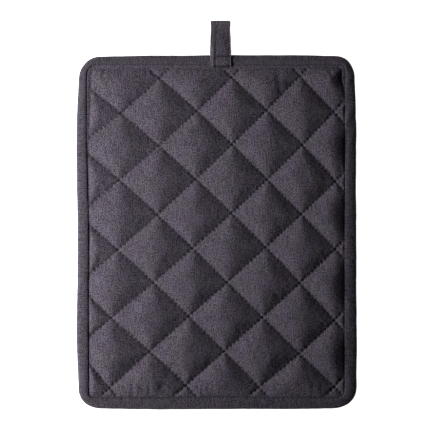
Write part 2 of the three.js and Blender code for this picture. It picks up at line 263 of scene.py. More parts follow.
class BoundEdge:
    """The binding's outer and inner edge as matching stations, counter-clockwise."""

    def __init__(self):
        sides = [drawn_side(k) for k in range(len(SIDES))]
        outer, inner = [], []
        for side, after, corner in zip(sides, sides[1:] + sides[:1], CORNERS):
            turns = (side["ahead"], after["ahead"], corner["square"])
            inner_turns = (side["inner_ahead"], after["inner_ahead"], ROUND)
            outer += [side["outer"], corner_points(side["outer"][-1], after["outer"][0], *turns)]
            inner += [side["inner"], corner_points(side["inner"][-1], after["inner"][0], *inner_turns)]
        drawn = np.hstack([np.concatenate(outer), np.concatenate(inner)])
        along = lengths(drawn[:, :2])
        self.perimeter = along[-1]
        place = np.arange(EDGE_STEPS) * self.perimeter / EDGE_STEPS
        drawn = read_off(place, along, np.vstack([drawn, drawn[:1]]))
        self.outer = evened(self.perimeter, drawn[:, :2], EDGE_EASE)
        self.inner = evened(self.perimeter, square_to(self.outer, drawn[:, 2:]), EDGE_EASE)
        self.outer_along = lengths(self.outer)[:-1]
        self.inner_along = lengths(self.inner)
        self.inner_length = self.inner_along[-1]
        self.width = np.linalg.norm(self.inner - self.outer, axis=1)
        self.inward = (self.inner - self.outer) / self.width[:, None]
        self.margin_places = [self.inner_along[nearest(self.inner, row["at"])] for row in MARGINS]

    def margin(self, along):
        """How far inside the binding the seam round the panel lies, at lengths along the inner edge."""
        widths = [row["width"] for row in MARGINS]
        return np.interp(along, self.margin_places, widths, period=self.inner_length)

    def measured(self, points):
        """How deep inside the binding's inner edge each plane point is, and how far along that edge."""
        starts, steps = self.inner, np.roll(self.inner, -1, axis=0) - self.inner
        squared = (steps**2).sum(1)
        depth, along = np.zeros(len(points)), np.zeros(len(points))
        for first in range(0, len(points), MEASURED_AT_ONCE):
            part = slice(first, first + MEASURED_AT_ONCE)
            offset = points[part, None, :] - starts[None]
            share = np.clip((offset * steps).sum(2) / squared, 0, 1)
            offset -= share[..., None] * steps
            distance = (offset**2).sum(2)
            near = distance.argmin(1)
            rows = np.arange(len(near))
            inside = cross(steps[near], points[part] - starts[near]) >= 0
            depth[part] = np.sqrt(distance[rows, near]) * np.where(inside, 1, -1)
            span = self.inner_along[near + 1] - self.inner_along[near]
            along[part] = self.inner_along[near] + share[rows, near] * span
        return depth, along

    def inner_at(self, along, depth):
        """Plane points at lengths along the inner edge and a depth inside it."""
        known = np.hstack([self.inner, inward_of(self.inner)])
        found = read_off(along % self.inner_length, self.inner_along, np.vstack([known, known[:1]]))
        return found[:, :2] + found[:, 2:] * depth


EDGE = BoundEdge()

# ---- The quilting's lattice -----------------------------------------------------------------------------

# Lines of stitches from one edge of the panel to the other. `sway` is how far each strays to the left of its
# chord at one third and at two thirds of its length.
FALLING_LINES = table(
    "start end sway",
    ((54.8, 105.8), (90.8, 66.9), (-0.4, -0.2)),
    ((3.7, 105.8), (90.8, 17.3), (1.5, 2.3)),
    ((-49.0, 105.0), (90.8, -30.2), (2.8, 1.9)),
    ((-89.8, 90.0), (90.8, -82.7), (5.1, 4.8)),
    ((-92.0, 43.9), (90.0, -128.0), (2.4, 0.6)),
    ((-92.0, -6.4), (36.8, -130.2), (2.1, 2.0)),
    ((-92.0, -57.5), (-15.7, -128.8), (-0.3, 0.9)),
    ((-91.3, -106.5), (-71.1, -130.9), (0.0, 0.0)),
)
RISING_LINES = table(
    "start end sway",
    ((-91.3, 55.4), (-32.3, 106.5), (-1.5, -1.3)),
    ((-91.3, 6.5), (18.8, 106.5), (-1.4, -1.6)),
    ((-91.3, -42.4), (66.3, 106.5), (-2.8, -2.7)),
    ((-91.3, -87.0), (90.8, 81.3), (-3.6, -4.2)),
    ((-84.1, -130.9), (90.8, 29.5), (-0.5, -1.4)),
    ((-29.5, -129.0), (90.8, -18.7), (-0.8, -1.4)),
    ((23.6, -129.1), (90.8, -69.0), (-1.4, -1.6)),
    ((77.8, -130.2), (90.8, -116.5), (0.0, 0.0)),
)
LINE_SPACING_Y = 49.5  # to the next line, off the panel, that the panel's corners were cut from
NEIGHBOURS = 2  # such lines on either side
CROSSING_PASSES = 6  # enough for two gently swaying lines to be followed to where they cross
STITCHES_A_DIAMOND = 11  # along each of its sides
SETTLING_STEPS = 22  # mesh steps along a diamond's side while the cloth settles and on the back, two a stitch
FACE_STEPS = 44  # and on the finished face, four a stitch
PANEL_TUCK = 2.8  # how far the panel runs in under the binding
OFF_PANEL = -99.0  # the depth noted for points that are too far out to be measured


def stray(sway, fraction):
    """How far a line strays from its chord at a fraction of its length, a cubic through its two sways."""
    t = np.clip(fraction, 0, 1)
    full = 27 / 2  # makes each term one sway high at its own third
    return full * t * (1 - t) * (sway[..., 0] * (2 / 3 - t) + sway[..., 1] * (t - 1 / 3))


def drawn_lines(lines, steps):
    """Starts, chords and sways of the lines, some more on either side, and `steps` - 1 between each two."""
    starts, ends, sways = (np.array([line[column] for line in lines]) for column in ("start", "end", "sway"))
    away = np.arange(1, NEIGHBOURS + 1)[:, None] * np.array([0, LINE_SPACING_Y])
    starts = np.vstack([starts[:1] + away[::-1], starts, starts[-1:] - away])
    ends = np.vstack([ends[:1] + away[::-1], ends, ends[-1:] - away])
    sways = np.vstack([0 * away, sways, 0 * away])
    place = np.arange((len(starts) - 1) * steps + 1) / steps
    return [read_off(place, np.arange(len(starts)), values) for values in (starts, ends - starts, sways)]


class Lattice:
    """Where every falling line crosses every rising one, and what lies between: a grid of plane points.

    Row i and column j are falling line i / steps and rising line j / steps, whole numbers on the stitching.
    """

    def __init__(self, steps):
        self.steps = steps
        starts, chords, sways = (part[:, None] for part in drawn_lines(FALLING_LINES, steps))
        other_starts, other_chords, other_sways = (part[None] for part in drawn_lines(RISING_LINES, steps))
        left, other_left = unit(left_of(chords)), unit(left_of(other_chords))
        turn = cross(chords, other_chords)
        at = other_at = np.full(turn.shape, 0.5)
        for _ in range(CROSSING_PASSES):
            here = starts + left * stray(sways, at)[..., None]
            there = other_starts + other_left * stray(other_sways, other_at)[..., None]
            at = cross(there - here, other_chords) / turn
            other_at = cross(there - here, chords) / turn
        self.points = starts + chords * at[..., None] + left * stray(sways, at)[..., None]
        row, column = np.indices(turn.shape)
        self.s, self.t = (row % steps) / steps, (column % steps) / steps
        self.side = steps * np.median(np.linalg.norm(np.diff(self.points, axis=0), axis=-1))
        self.stitch = steps // STITCHES_A_DIAMOND
        on_falling = (row % steps == 0) & (column % self.stitch == 0)
        self.hole = on_falling | (column % steps == 0) & (row % self.stitch == 0)
        flat = self.points.reshape(-1, 2)
        near = (np.abs(flat[:, 0]) < 100) & (flat[:, 1] > -140) & (flat[:, 1] < 115)
        depth, along = np.full(len(flat), OFF_PANEL), np.zeros(len(flat))
        depth[near], along[near] = EDGE.measured(flat[near])
        self.depth, self.along = depth.reshape(turn.shape), along.reshape(turn.shape)
        self.margin = EDGE.margin(self.along)

    def cells(self):
        """The points inside the panel's cut edge, and every cell as four places in that list."""
        kept = self.depth > -PANEL_TUCK
        columns = kept.shape[1]
        i, j = np.nonzero(kept[:-1, :-1] & kept[1:, :-1] & kept[1:, 1:] & kept[:-1, 1:])
        corner = i * columns + j
        cells = np.stack([corner, corner + columns, corner + columns + 1, corner + 1], axis=1)
        used, corners = np.unique(cells, return_inverse=True)
        return used, corners.reshape(-1, 4)

    def seams(self):
        """For both ways of quilting, how far each point is from a seam, and 1 at a hole to -1 between two."""
        for across, along in ((self.s, self.t), (self.t, self.s)):
            yield (0.5 - np.abs(across - 0.5)) * self.side, np.cos(2 * math.pi * STITCHES_A_DIAMOND * along)


# ---- Settling the cloth ---------------------------------------------------------------------------------

MID_HEIGHT = 4.0  # the middle of the bound edge, above the floor
CHANNEL_HALF = 1.3  # half the panel's thickness where it is stitched through
TONGUE_HALF = 1.0  # half its thickness where the binding grips it
FRONT_PUFF = 3.9  # a whole diamond's rise above the stitching, on the face
BACK_PUFF = 4.3  # the same on the back, before the floor flattens it
RIM_SLOPE = 12.0  # how far in from the seam round the panel the wadding reaches its full height
HIP = 1.5  # how crisp a puff's four slopes meet, from 1
SETTLING_FRAMES = 18
SETTLING_START = 0.95  # of the full puffs, before the wadding pushes
FURTHEST = 2.6  # that a point may move
CLOTH = {
    "quality": 6,
    "mass": 0.02,
    "tension_stiffness": 60.0,
    "compression_stiffness": 60.0,
    "shear_stiffness": 20.0,
    "bending_stiffness": 0.3,
    "shrink_min": -0.003,  # makes the cloth 0.3% longer than the stitched panel
    "use_pressure": True,
    "uniform_pressure_force": 12.0,
}


def arch(part):
    """A low arch over 0 to 1, kept just above nothing."""
    return np.maximum(4 * part * (1 - part), 0.001)


def fullness(lattice):
    """How full the wadding is, from 0 on the stitching to 1 in the middle of a whole diamond."""
    from_seam = np.clip((lattice.depth - lattice.margin) / RIM_SLOPE, 0, 1)
    arches = [arch(lattice.s), arch(lattice.t), arch(from_seam / 2)]
    return (sum(height**-HIP for height in arches) - 2) ** (-1 / HIP)


def seam_height(lattice):
    """How far the stitched cloth is from the panel's middle, less where the binding grips it."""
    return TONGUE_HALF + (CHANNEL_HALF - TONGUE_HALF) * smoothstep(lattice.depth, -1.5, 0.3)


def settled_cloth(points, faces, pinned):
    """The points after the wadding has pushed the cloth out between the pinned stitch holes."""
    piece = mesh_object("settling_cloth", points, faces)
    group = piece.vertex_groups.new(name="stitched")
    group.add([int(index) for index in np.nonzero(pinned)[0]], 1.0, "REPLACE")
    modifier = piece.modifiers.new("Cloth", "CLOTH")
    modifier.settings.vertex_group_mass = group.name
    for key, value in CLOTH.items():
        setattr(modifier.settings, key, value)
    modifier.settings.effector_weights.gravity = 0
    modifier.collision_settings.use_collision = False
    modifier.point_cache.frame_start = 1
    modifier.point_cache.frame_end = SETTLING_FRAMES
    scene = bpy.context.scene
    for number in range(1, SETTLING_FRAMES + 1):
        scene.frame_set(number)
    settled = piece.evaluated_get(bpy.context.evaluated_depsgraph_get()).to_mesh()
    moved = np.zeros(len(points) * 3, np.float32)
    settled.vertices.foreach_get("co", moved)
    mesh = piece.data
    bpy.data.objects.remove(piece)
    bpy.data.meshes.remove(mesh)
    scene.frame_set(1)
    return moved.reshape(-1, 3).astype(float) / MM


def open_edges(faces):
    """The edges that only one face has, in that face's own direction."""
    edges = np.column_stack([faces.ravel(), np.roll(faces, -1, axis=1).ravel()])
    known = set(map(tuple, edges.tolist()))
    return [edge for edge in known if edge[::-1] not in known]


def settled_offsets(lattice):
    """How far every point of a lattice moves on the face and on the back while the cloth settles."""
    still = np.zeros(lattice.depth.shape + (3,)), np.zeros(lattice.depth.shape + (3,))
    used, corners = lattice.cells()
    count = len(used)
    plane = lattice.points.reshape(-1, 2)[used]
    full = SETTLING_START * fullness(lattice).ravel()[used]
    rise = seam_height(lattice).ravel()[used]
    top = np.column_stack([plane, MID_HEIGHT + rise + FRONT_PUFF * full])
    low = np.column_stack([plane, MID_HEIGHT - rise - BACK_PUFF * full])
    pinned = (lattice.hole | (lattice.depth < lattice.margin + 0.8)).ravel()[used]
    faces = corners.tolist() + (corners[:, ::-1] + count).tolist()
    faces += [[b, a, a + count, b + count] for a, b in open_edges(corners)]
    points = np.vstack([top, low])
    moved = settled_cloth(points, faces, np.tile(pinned, 2)) - points
    length = np.linalg.norm(moved, axis=1, keepdims=True)
    moved *= np.minimum(1, FURTHEST / np.maximum(length, 1e-9))
    for offsets, part in zip(still, (moved[:count], moved[count:])):
        offsets.reshape(-1, 3)[used] = part
    return still


def refined(offsets, steps):
    """Offsets on a lattice twice as fine: a cubic along each diamond, with the seams left as creases."""
    for axis in (0, 1):
        values = np.moveaxis(offsets, axis, 0)
        finer = np.zeros((2 * len(values) - 1,) + values.shape[1:])
        finer[::2] = values
        for first in range(0, len(values) - 1, steps):
            part = values[first:first + steps + 1]
            middle = np.zeros((steps,) + values.shape[1:])
            middle[1:-1] = (9 * (part[1:-2] + part[2:-1]) - part[:-3] - part[3:]) / 16
            middle[0] = (3 * part[0] + 6 * part[1] - part[2]) / 8
            middle[-1] = (3 * part[-1] + 6 * part[-2] - part[-3]) / 8
            finer[2 * first + 1:2 * (first + steps) + 1:2] = middle
        offsets = np.moveaxis(finer, 0, axis)
    return offsets


# ---- Quilted panel --------------------------------------------------------------------------------------

STITCH = 3.3  # length of one stitch in the seams along the binding
HOLE = {"depth": 0.45, "reach": 0.8}  # the dimple at each stitch hole
RAYS = {"height": 0.15, "reach": 1.5}  # small puckers that run from the stitching into a diamond
UNEVEN = {"height": 0.2, "wavelength": 17.0}  # the wadding's lumps
RUMPLE = {"height": 0.04, "wavelength": 5.0}  # the linen's own
SETTLED_FROM = 1.5  # in from the seam round the panel, where the settled cloth takes over from the margin
SETTLED_WITHIN = 6.0
MARGIN_SWELL = 0.3
MARGIN_LIFT = {"narrow": 0.2, "wide": 0.42}  # how far the wadding fills the panel out beside the binding
FLOOR_EASE = 0.2  # how softly the back turns up from the floor
SEAM_PULL = 0.2  # how far each stitch of the seam round the panel draws the cloth down

# Creases that the binding's seam has drawn into the panel: soft troughs with their middle at x, y, running at
# an angle from +X.
DRAG_CREASES = table(
    "x y angle length width depth",
    (-60.3, -125.0, 92, 12.0, 1.5, 0.4),
    (-48.2, -125.3, 90, 11.0, 1.3, 0.3),
    (-39.5, -123.3, 70, 13.0, 1.8, 0.25),
    (-10.2, -126.0, 84, 9.0, 1.2, 0.28),
    (44.2, 96.8, 97, 17.0, 1.9, 0.32),
    (-46.5, 102.8, 112, 6.0, 1.1, 0.4),
    (-50.5, 103.6, 104, 5.0, 0.9, 0.3),
    (-26.5, 103.6, 80, 5.0, 1.0, 0.28),
    (-81.0, 101.5, 70, 7.0, 1.2, 0.4),
    (82.0, 101.0, 118, 8.0, 1.3, 0.3),
    (69.0, -123.0, 84, 8.0, 1.6, 0.16),
    (-86.0, 20.5, 4, 7.0, 1.3, 0.4),
    (85.0, -52.0, 172, 7.0, 1.4, 0.25),
)


def crease_depth(points):
    """How far the drag creases sink the cloth at plane points."""
    total = np.zeros(points.shape[:-1])
    for crease in DRAG_CREASES:
        angle = math.radians(crease["angle"])
        dx, dy = points[..., 0] - crease["x"], points[..., 1] - crease["y"]
        along = dx * math.cos(angle) + dy * math.sin(angle)
        across = dy * math.cos(angle) - dx * math.sin(angle)
        width = crease["width"]
        shoulder = bell(np.abs(across) - 1.9 * width, width) * 0.45
        total += crease["depth"] * bell(along, crease["length"] / 2) * (bell(across, width) - shoulder)
    return total


def puckers(lattice, seed):
    """The sewing's marks: dimples at the stitch holes and small puckers running out of them."""
    uneven = 0.65 + 0.35 * ripple(lattice.points, 9.0, seed)
    total = np.zeros(lattice.depth.shape)
    for distance, at_hole in lattice.seams():
        total -= HOLE["depth"] * bell(distance, HOLE["reach"]) * ((1 + at_hole) / 2) ** 2
        total -= RAYS["height"] * uneven * np.exp(-distance / RAYS["reach"]) * at_hole
    return total


def edge_relief(lattice):
    """The margin between the binding and the seam round the panel, pulled down at each stitch."""
    depth, margin = lattice.depth, lattice.margin
    stitched = np.cos(2 * math.pi * lattice.along / STITCH)
    apart = smoothstep(margin, 0.8, 1.8)
    swell = MARGIN_SWELL * np.sin(math.pi * np.clip(depth / margin, 0, 1)) * apart
    seam = SEAM_PULL * bell(depth - margin, 0.7) * (0.75 + 0.25 * stitched) * apart
    ditch = 0.6 * SEAM_PULL * bell(depth, 0.7) * (0.6 + 0.4 * stitched)
    lift = MARGIN_LIFT["narrow"] + (MARGIN_LIFT["wide"] - MARGIN_LIFT["narrow"]) * apart
    return lift * bell(depth, 2.6) + swell - seam - ditch


def panel_painted_shade(lattice):
    """Painted shade from 0 to 1, deepest in stitch holes, in the ditch by the binding and on the seam round
    it.
    """
    total = np.zeros(lattice.depth.shape)
    for distance, at_hole in lattice.seams():
        total += bell(distance, 0.65) * (0.05 + 0.4 * ((1 + at_hole) / 2) ** 2)
    stitched = (1 + np.cos(2 * math.pi * lattice.along / STITCH)) / 2
    total = total * smoothstep(lattice.depth, 0, 1) + bell(lattice.depth, 0.7) * (0.8 + 0.4 * stitched)
    basted = smoothstep(lattice.margin, 0.8, 1.8) * bell(lattice.depth - lattice.margin, 0.55)
    return total + basted * (0.05 + 0.3 * stitched)


def panel_points(lattice, offsets, puff, seed):
    """The finished points of one side of the panel, its height measured out from the panel's middle."""
    full, rise = fullness(lattice), seam_height(lattice)
    inside = lattice.depth - lattice.margin
    taken = smoothstep(inside, SETTLED_FROM, SETTLED_WITHIN)
    stuffed = rise + puff * full
    settled = rise + puff * SETTLING_START * full + offsets[..., 2]
    spare = smoothstep(inside, -0.5, 3)
    height = stuffed + (settled - stuffed) * taken + edge_relief(lattice)
    height += spare * (full * lumps(UNEVEN, lattice.points, seed) + lumps(RUMPLE, lattice.points, seed + 1))
    height += puckers(lattice, seed + 2) * smoothstep(lattice.depth, 0.5, 2)
    return lattice.points + offsets[..., :2] * taken[..., None], height


def panel_surfaces():
    """The panel's face and back, each as its lattice, plane points, heights and the way that it faces."""
    settling, face = Lattice(SETTLING_STEPS), Lattice(FACE_STEPS)
    up, down = settled_offsets(settling)
    return [
        (face, *panel_points(face, refined(up, SETTLING_STEPS), FRONT_PUFF, 11), 1),
        (settling, *panel_points(settling, down * np.array([1, 1, -1]), BACK_PUFF, 31), -1),
    ]


def pressed_flat(level):
    """Heights that would reach through the floor, flattened on it with a soft shoulder."""
    return (level + np.sqrt(level**2 + FLOOR_EASE**2)) / 2 - FLOOR_EASE / 8


def panel_side(lattice, plane, height, outward):
    """One side of the panel: points, cells, how far along the edge each point is, and its painted shade."""
    used, corners = lattice.cells()
    if outward > 0:
        height = height - crease_depth(lattice.points) * smoothstep(lattice.depth, 0.3, 2.5)
    level = (MID_HEIGHT + outward * height).ravel()[used]
    if outward < 0:
        level, corners = pressed_flat(level), corners[:, ::-1]
    points = np.column_stack([plane.reshape(-1, 2)[used], level])
    return points, corners, lattice.along.ravel()[used], panel_painted_shade(lattice).ravel()[used]


def border(faces, along):
    """The open edge of a mesh as one closed row of its points, in the way that `along` grows."""
    following = dict(open_edges(faces))
    row = [min(following)]
    while following[row[-1]] != row[0]:
        row.append(following[row[-1]])
    row = np.array(row)
    ahead = (np.roll(along[row], -1) - along[row] + EDGE.inner_length / 2) % EDGE.inner_length
    return row if np.median(ahead) > EDGE.inner_length / 2 else row[::-1]


def zipped(*rows):
    """Triangles between two closed rows of points, each given with its lengths along the inner edge."""
    opened = []
    for row, along in rows:
        start = -int(np.argmin(along))
        row, along = np.roll(row, start), np.roll(along, start)
        opened.append((np.append(row, row[0]), np.append(along, EDGE.inner_length + along[0])))
    (first, first_along), (second, second_along) = opened
    faces, a, b = [], 0, 0
    while a < len(first) - 1 or b < len(second) - 1:
        if b == len(second) - 1 or (a < len(first) - 1 and first_along[a + 1] <= second_along[b + 1]):
            faces.append((first[a + 1], first[a], second[b]))
            a += 1
        else:
            faces.append((first[a], second[b], second[b + 1]))
            b += 1
    return faces


def quilted_panel(surfaces):
    sides = [panel_side(*surface) for surface in surfaces]
    (face, face_cells, face_along, face_painted_shade), (back, back_cells, back_along, back_painted_shade) = sides
    count = len(face)
    face_row, back_row = border(face_cells, face_along), border(back_cells, back_along)
    wall = zipped((face_row, face_along[face_row]), (back_row + count, back_along[back_row]))
    faces = face_cells.tolist() + (back_cells + count).tolist() + wall
    # Painted shade of the face and the back, for the mesh's shade attribute
    painted_shade = np.concatenate([face_painted_shade, back_painted_shade])
    piece = mesh_object("quilted_linen_pad", np.vstack([face, back]), faces, painted_shade=painted_shade)
    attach(piece, "root")
    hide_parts("quilted_pad")
    return piece


# ---- Edge binding ---------------------------------------------------------------------------------------

STRIP = {
    "cloth": 0.5,  # thickness
    "outside": 2.15,  # of the outer layer's middle, from the middle of the edge
    "hem": 1.58,  # of the turned-under layer's middle
    "crown": 0.12,
    "thinner": 0.42,  # how much closer to the middle it lies at the fold
    "dip": 0.3,  # how far the seam draws the inner edge down
    "nose": 2.6,  # depth of the rounded fold
    "turned": 0.35,  # of the strip's width on one side that is turned under
    "turn_radius": 0.27,
}
# Shares of the way from the nose to the inner edge, and how much of the crown and the dip is there.
FACE_SHARES = table(
    "share crown dip",
    (0.96, 0.0, 0.85),
    (0.82, 0.3, 0.35),
    (0.6, 0.9, 0.05),
    (0.38, 1.0, 0.0),
    (0.14, 0.5, 0.0),
)
TURN_ANGLES = (-55, 0, 55)  # degrees, round the turned inner edge
NOSE_ANGLES = (74, 52, 30, 10, -10, -30, -52, -74)  # degrees, round the fold
LEAST_LEVEL = 0.02  # above the floor

# The strip's two ends meet in a slanting seam on the left side.
JOIN = {"outer": (-99.7, -31.3), "inner": (-92.7, -24.4), "groove": 0.3, "ridge": 0.22, "seam_allowance": 1.8}
# Stretches where the strip was pulled askew while it was sewn: diagonal wrinkles between two places.
ASKEW = table(
    "start end height wavelength slant",
    ((100.3, 44.0), (99.0, 108.0), 0.26, 23.0, 1.9),
    ((-20.0, 114.9), (-70.0, 114.5), 0.05, 6.5, 0.7),
    ((-100.4, 80.0), (-100.4, 20.0), 0.045, 7.5, 0.5),
    ((-100.0, -60.0), (-100.2, -110.0), 0.06, 5.5, -0.6),
    ((-40.0, -139.4), (60.0, -139.4), 0.05, 6.0, 0.6),
    ((100.4, -110.0), (100.4, 10.0), 0.06, 5.8, -0.7),
)
STRIP_RUMPLE = {"height": 0.09, "wavelength": 8.0}
STRIP_TWIST = {"height": 0.108, "wavelength": 28.0}


def strip_section(width):
    """The folded strip's middle line across each station, and how much of the wrinkles each point takes.

    Each point is how far in from the outer edge it is and how far up from the middle of the edge.
    """
    nose = np.minimum(STRIP["nose"], 0.45 * width)
    radius, dip = STRIP["turn_radius"], STRIP["dip"]
    turn_up = (STRIP["outside"] + STRIP["hem"]) / 2 - dip
    start = STRIP["turned"] * width
    half = [(start + part * (width - start), STRIP["hem"] - 0.3 * part * dip) for part in (0, 0.6)]
    for angle in np.radians(TURN_ANGLES):
        half.append((width - radius * (1 - math.cos(angle)), turn_up + radius * math.sin(angle)))
    for row in FACE_SHARES:
        up = STRIP["outside"] + row["crown"] * STRIP["crown"] - row["dip"] * dip
        up -= STRIP["thinner"] * (1 - row["share"]) ** 1.3
        half.append((nose + row["share"] * (width - nose), up))
    share = [0] * 2 + [0.4] * len(TURN_ANGLES) + [1] * len(FACE_SHARES)
    reach, tall = nose - STRIP["cloth"] / 2, STRIP["outside"] - STRIP["thinner"]
    middle = [(nose - reach * math.cos(angle), tall * math.sin(angle)) for angle in np.radians(NOSE_ANGLES)]
    back = [(inward, -up) for inward, up in reversed(half)]
    section = np.array([(inward, up + 0 * width) for inward, up in half + middle + back]).transpose(2, 0, 1)
    return section, np.array(share + [0.5] * len(middle) + share[::-1])


def place_along(point):
    """How far along the outer edge the station nearest to a plane point is."""
    return EDGE.outer_along[nearest(EDGE.outer, point)]


def from_place(along, place):
    """Signed distance along the closed outer edge from a place on it."""
    return (along - place + EDGE.perimeter / 2) % EDGE.perimeter - EDGE.perimeter / 2


def strip_wrinkles(along, inward):
    """How far the strip stands out at lengths along the outer edge and distances in from it."""
    around = 2 * math.pi * along / EDGE.perimeter
    circle = np.stack([np.cos(around), np.sin(around)], axis=-1) * EDGE.perimeter / (2 * math.pi)
    flat = circle * (1 + inward / 140)[..., None]  # the strip laid out in a ring, so that its ends meet
    total = lumps(STRIP_RUMPLE, flat, 51) + lumps(STRIP_TWIST, flat, 52)
    for row in ASKEW:
        start, end = place_along(row["start"]), place_along(row["end"])
        off, reach = from_place(along, (start + end) / 2), abs(end - start) / 2
        strength = 1 - smoothstep(np.abs(off), 0.6 * reach, 1.15 * reach)
        bent = off + 1.6 * ripple(flat, 16.0, 53)
        wave = np.sin(2 * math.pi * (bent + row["slant"] * inward) / row["wavelength"])
        total += row["height"] * strength * wave * (0.7 + 0.5 * ripple(flat, 13.0, 54))
    return total


def join_relief(along, inward):
    """The groove of the strip's slanting join, and the seam allowance that lifts one side of it."""
    outer, inner, allowance = JOIN["outer"], JOIN["inner"], JOIN["seam_allowance"]
    slant = (inner[1] - outer[1]) / abs(inner[0] - outer[0])
    from_outer = from_place(along, place_along(outer))
    off = from_outer + slant * inward
    ridge = smoothstep(off, 0.1, 0.7) * (1 - smoothstep(off, allowance, allowance + 1.6))
    return (np.abs(from_outer) < 30) * (JOIN["ridge"] * ridge - JOIN["groove"] * bell(off, 0.38))


def edge_binding():
    section, share = strip_section(EDGE.width)
    along = np.repeat(EDGE.outer_along[:, None], section.shape[1], axis=1)
    inward = section[..., 0]
    from_seam = EDGE.width[:, None] - inward
    normal = -unit(left_of(np.gradient(section, axis=1)))
    stitched = np.cos(2 * math.pi * EDGE.inner_along[:-1] / STITCH)[:, None]
    join = join_relief(along, inward)
    relief = strip_wrinkles(along, inward) + join - 0.07 * bell(from_seam, 1.3) * (1 + stitched)
    middle = section + normal * (relief * share)[..., None]
    # Painted shade along the strip's seamed inner edge and in the groove of its join
    painted_shade = bell(from_seam, 0.45) * (0.5 + 0.3 * stitched) + 2 * np.maximum(-join, 0)
    # A closed skin: out along the normal one way, and back along its other side.
    half = normal * STRIP["cloth"] / 2
    rings = np.concatenate([middle + half, (middle - half)[:, ::-1]], axis=1)
    around = rings.shape[1]
    plane = EDGE.outer[:, None] + EDGE.inward[:, None] * rings[..., :1]
    points = np.concatenate([plane, MID_HEIGHT + rings[..., 1:]], axis=-1).reshape(-1, 3)
    points[:, 2] = np.maximum(points[:, 2], LEAST_LEVEL)
    faces = ring_faces(EDGE_STEPS, around, closed=True)[:, ::-1]
    across = np.concatenate([[0], np.cumsum(np.linalg.norm(np.diff(middle[0], axis=0), axis=1))])
    across = np.concatenate([across, across[::-1]])
    ring, k = faces // around, faces % around
    ring = np.where((ring == 0) & (ring[:, -1:] == EDGE_STEPS - 1), EDGE_STEPS, ring)
    uv = np.stack([ring * EDGE.perimeter / EDGE_STEPS, across[k]], axis=-1)
    piece = mesh_object("folded_edge_binding", points, faces, uv, np.hstack([painted_shade, painted_shade[:, ::-1]]))
    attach(piece, "root")
    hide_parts("edge_binding")
    return piece


# ---- Hanging loop ---------------------------------------------------------------------------------------

LOOP = {
    "x": 2.65,  # a little to the right of the middle
    "lean": -0.12,  # how far the fold lies to one side
    "tape": 1.2,  # thickness
    "base_width": 15.2,
    "fold_width": 13.9,
    "front_end": 106.0,
    "back_end": 107.9,
    "edge": 114.9,
    "top": 139.7,
    "closes": 122.0,  # where the legs begin to come together
    "fold_radius": 1.0,  # of the tape's middle
    "fold_height": 2.1,
    "front_height": 7.05,  # of the front leg's middle, over the binding
    "back_height": 0.6,
    "dip": 0.5,  # how far the front leg's end is stitched down beyond the binding
    "dip_length": 2.6,
    "rounded": 1.5,  # radius of the corners of the front leg's end
    "sides": 0.7,  # how far in from its sides the tape rounds over
}
LOOP_STEPS = 150  # along one leg
LOOP_FOLD_STEPS = 14
LOOP_ACROSS = 34
LOOP_STITCH = 2.4
LOOP_SEAM = {"in": 3.7, "groove": 0.05, "reach": 0.4}  # the crease beside the tape's folded left edge
LOOP_RIDGE = {"height": 0.2, "lower": 0.22}  # the folded edge, and how much thicker it is low down
LOOP_CROWN = {"in": 5.6, "fall": 1.05, "width": 8.6}  # the tape's middle, and how far it falls to the right
LOOP_TACKS = (113.9, 106.7)  # where rows of stitches hold the front leg down
LOOP_RUMPLE = {"height": 0.07, "wavelength": 8.0}


def loop_path():
    """The tape's middle line in the YZ plane: up the front leg, round the fold and back down behind."""
    radius, fold_height = LOOP["fold_radius"], LOOP["fold_height"]
    fold_y = LOOP["top"] - LOOP["tape"] / 2 - radius
    legs = []
    for leg, side in (("front", 1), ("back", -1)):
        y, height = np.linspace(LOOP[leg + "_end"], fold_y, LOOP_STEPS), LOOP[leg + "_height"]
        closing = smoothstep(y, LOOP["closes"], fold_y)
        legs.append(np.column_stack([y, height + closing * (fold_height + side * radius - height)]))
    front, back = legs
    end = LOOP["front_end"]
    front[:, 1] -= LOOP["dip"] * (1 - smoothstep(front[:, 0], end, end + LOOP["dip_length"]))
    angle = np.linspace(math.pi / 2, -math.pi / 2, LOOP_FOLD_STEPS + 2)[1:-1]
    fold = np.column_stack([fold_y + radius * np.cos(angle), fold_height + radius * np.sin(angle)])
    return np.vstack([front, fold, back[::-1]])


def loop_seam(y):
    """How far in from the tape's left side its crease runs."""
    return LOOP_SEAM["in"] + 0.2 * np.sin(y / 5.0) + 0.1 * np.sin(y / 2.3 + 1)


def tack_lines(x_in):
    """Where the two rows of stitches across the tape run: the upper one droops at its left end."""
    return LOOP_TACKS[0] - 2.2 * (1 - smoothstep(x_in, 2.8, 7.0)), LOOP_TACKS[1] + 0 * x_in


def loop_relief(x_in, y, on_front):
    """How far the tape's outer side stands out, at distances in from its left side."""
    low = on_front * (1 - smoothstep(y, 117, 127))
    in_box = on_front * (1 - smoothstep(y, LOOP_TACKS[0] - 1, LOOP_TACKS[0] + 2))
    seam = loop_seam(y)
    ridge = smoothstep(x_in, 0.1, seam - 0.7) * (1 - smoothstep(x_in, seam - 0.8, seam + 0.1))
    total = ridge * (LOOP_RIDGE["height"] + LOOP_RIDGE["lower"] * low)
    total -= LOOP_SEAM["groove"] * bell(x_in - seam, LOOP_SEAM["reach"]) * (0.4 + 2 * low)
    over = np.maximum(x_in - LOOP_CROWN["in"], 0) / LOOP_CROWN["width"]
    total -= LOOP_CROWN["fall"] * over**2 * (1 - 0.15 * in_box)
    for tack in tack_lines(x_in):
        held = 0.75 + 0.25 * np.cos(2 * math.pi * x_in / STITCH)
        total -= on_front * 0.42 * bell(y - tack, 0.5) * held * smoothstep(x_in, 2.0, 3.6)
    total += on_front * 0.25 * bell(y - sum(LOOP_TACKS) / 2, 2.4) * smoothstep(x_in, 3.0, 4.5)
    total += lumps(LOOP_RUMPLE, np.stack([x_in + 60 * on_front, y + 0 * x_in], axis=-1), 71)
    return total * (1 - smoothstep(y, LOOP["top"] - 14, LOOP["top"] - 0.8))


